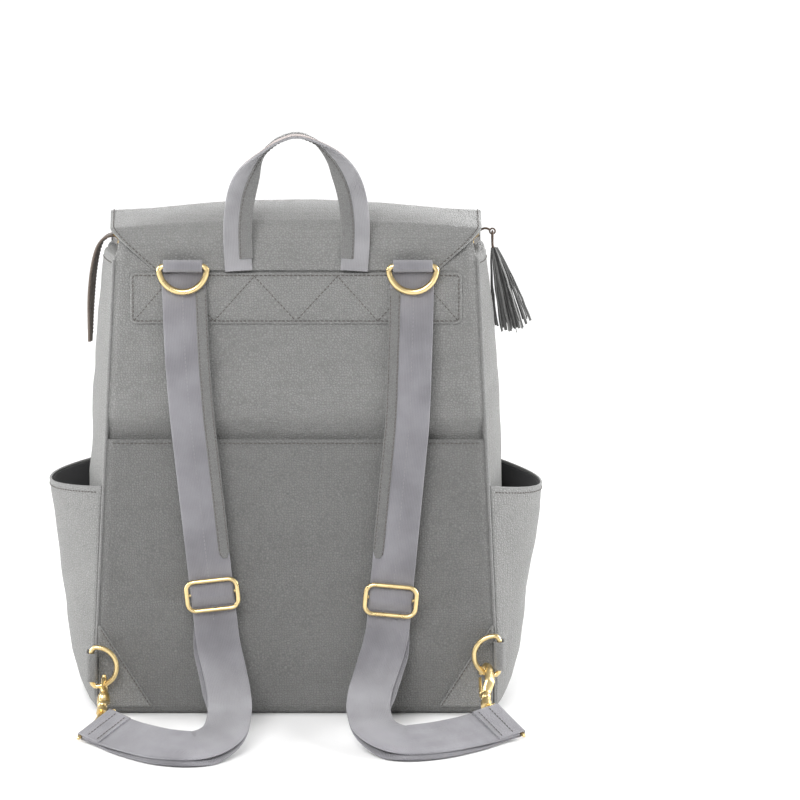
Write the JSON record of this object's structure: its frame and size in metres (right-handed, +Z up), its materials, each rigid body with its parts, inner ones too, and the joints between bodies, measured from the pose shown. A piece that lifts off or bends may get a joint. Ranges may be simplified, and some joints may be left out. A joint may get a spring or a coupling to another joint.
{
  "type": "diaper bag",
  "caption": "Soft-sided convertible backpack diaper bag in pebbled leather, with a fold-over flap, webbing shoulder straps, metal rings and hooks, side pockets and a tassel.",
  "frame": {"origin": "on the floor under the middle of the flat base, between the back and front panels", "axes": "+Z up, +Y from the back (shoulder strap side) towards the front (flap and zipper side), +X to the right when looking at the back"},
  "size_m": [0.4288, 0.3138, 0.4994],
  "materials": {
    "leather": "pebbled grain, matt",
    "webbing": "ribbed twill weave, slight sheen",
    "hardware": "satin pale gold plate",
    "zip_teeth": "satin pale gold plate",
    "zip_tape": "woven tape",
    "lining": "woven, matt",
    "board": "matt",
    "magnet": "satin"
  },
  "bodies": {
    "root": {"back_panel": "leather", "back_slip_pocket": "leather", "front_upper_panel": "leather", "front_pocket_panel": "leather", "front_pocket_lining": "lining", "gusset_left": "leather", "gusset_right": "leather", "side_pocket_left": "leather", "side_pocket_right": "leather", "base_panel": "leather", "base_board": "board", "lining": "lining", "reinforcement_band": "leather", "corner_patch_left": "leather", "corner_patch_right": "leather", "flap_back": "leather", "magnet_snap_bag": "magnet", "strap_upper_left": "webbing", "strap_upper_right": "webbing", "strap_trim_left": "leather", "strap_trim_right": "leather", "strap_lower_left": "webbing", "strap_lower_right": "webbing", "strap_return_left": "webbing", "strap_return_right": "webbing", "ring_loop_left": "webbing", "ring_loop_right": "webbing", "corner_loop_left": "leather", "corner_loop_right": "leather", "hook_swivel_left": "hardware", "hook_swivel_right": "hardware", "front_zipper_tape": "zip_tape", "front_zipper_teeth": "zip_teeth", "main_zipper_tape": "zip_tape", "main_zipper_teeth": "zip_teeth", "main_zipper_slider": "hardware"},
    "flap_top": {"flap_top": "leather"},
    "flap_front": {"flap_front": "leather", "magnet_snap_flap": "magnet"},
    "handle": {"handle_webbing": "webbing", "handle_leather": "leather"},
    "upper_ring_left": {"d_ring_left": "hardware"},
    "upper_ring_right": {"d_ring_right": "hardware"},
    "slide_left": {"slide_left": "hardware"},
    "slide_right": {"slide_right": "hardware"},
    "corner_ring_left": {"corner_ring_left": "hardware"},
    "corner_ring_right": {"corner_ring_right": "hardware"},
    "hook_left": {"hook_body_left": "hardware"},
    "hook_right": {"hook_body_right": "hardware"},
    "gate_left": {"hook_gate_left": "hardware"},
    "gate_right": {"hook_gate_right": "hardware"},
    "zip_slider": {"front_zipper_slider": "hardware"},
    "zip_pull": {"front_zipper_pull": "hardware"},
    "tassel": {"tassel_loop": "leather", "tassel_cap": "leather", "tassel_strands": "leather"},
    "zip_tail": {"zipper_tail": "leather"}
  },
  "joints": [
    {"name": "flap_lift", "type": "hinge", "parent": "root", "child": "flap_top", "pos_m": [0, -0.0665, 0.4155], "axis": [1, 0, 0], "range_deg": [0, 62]},
    {"name": "flap_fold", "type": "hinge", "parent": "flap_top", "child": "flap_front", "pos_m": [0, 0.0675, 0.416], "axis": [1, 0, 0], "range_deg": [0, 85]},
    {"name": "handle_fold", "type": "hinge", "parent": "root", "child": "handle", "pos_m": [0.0005, -0.0715, 0.3865], "axis": [1, 0, 0], "range_deg": [0, 150]},
    {"name": "upper_ring_left_swing", "type": "hinge", "parent": "root", "child": "upper_ring_left", "pos_m": [-0.095, -0.077, 0.3896], "axis": [-1, 0, 0], "range_deg": [0, 150]},
    {"name": "upper_ring_right_swing", "type": "hinge", "parent": "root", "child": "upper_ring_right", "pos_m": [0.098, -0.077, 0.3896], "axis": [-1, 0, 0], "range_deg": [0, 150]},
    {"name": "slide_left_adjust", "type": "slide", "parent": "root", "child": "slide_left", "axis": [-0.1096, 0.0308, 0.9935], "range_m": [0, 0.125]},
    {"name": "slide_right_adjust", "type": "slide", "parent": "root", "child": "slide_right", "axis": [0.0896, 0.0299, 0.9955], "range_m": [0, 0.125]},
    {"name": "corner_ring_left_swing", "type": "hinge", "parent": "root", "child": "corner_ring_left", "pos_m": [-0.1745, -0.092, 0.046], "axis": [0, 0, 1], "range_deg": [-5, 5]},
    {"name": "corner_ring_right_swing", "type": "hinge", "parent": "root", "child": "corner_ring_right", "pos_m": [0.1735, -0.092, 0.056], "axis": [0, 0, 1], "range_deg": [-5, 5]},
    {"name": "hook_left_swivel", "type": "hinge", "parent": "root", "child": "hook_left", "pos_m": [-0.16408, -0.12297, 0.01698], "axis": [0, 0.924, 0.3824], "range_deg": [-9, 9]},
    {"name": "hook_right_swivel", "type": "hinge", "parent": "root", "child": "hook_right", "pos_m": [0.16118, -0.12027, 0.02274], "axis": [0, 0.8384, 0.545], "range_deg": [-9, 9]},
    {"name": "gate_left_open", "type": "hinge", "parent": "hook_left", "child": "gate_left", "pos_m": [-0.16408, -0.11072, 0.03027], "axis": [1, 0, 0], "range_deg": [0, 11], "stiffness_Nm_per_rad": 0.004},
    {"name": "gate_right_open", "type": "hinge", "parent": "hook_right", "child": "gate_right", "pos_m": [0.15738, -0.10293, 0.02616], "axis": [-0.866, -0.2725, 0.4192], "range_deg": [0, 11], "stiffness_Nm_per_rad": 0.004},
    {"name": "front_zip_travel", "type": "slide", "parent": "root", "child": "zip_slider", "axis": [-1, 0, 0], "range_m": [0, 0.288]},
    {"name": "zip_pull_lift", "type": "hinge", "parent": "zip_slider", "child": "zip_pull", "pos_m": [0.147, 0.08001, 0.176], "axis": [1, 0, 0], "range_deg": [0, 150]},
    {"name": "tassel_swing", "type": "hinge", "parent": "root", "child": "tassel", "pos_m": [0.1689, 0, 0.408], "axis": [1, 0, 0], "range_deg": [-24, 24]},
    {"name": "zip_tail_swing", "type": "hinge", "parent": "root", "child": "zip_tail", "pos_m": [-0.162, 0, 0.4044], "axis": [1, 0, 0], "range_deg": [-25, 25]}
  ]
}
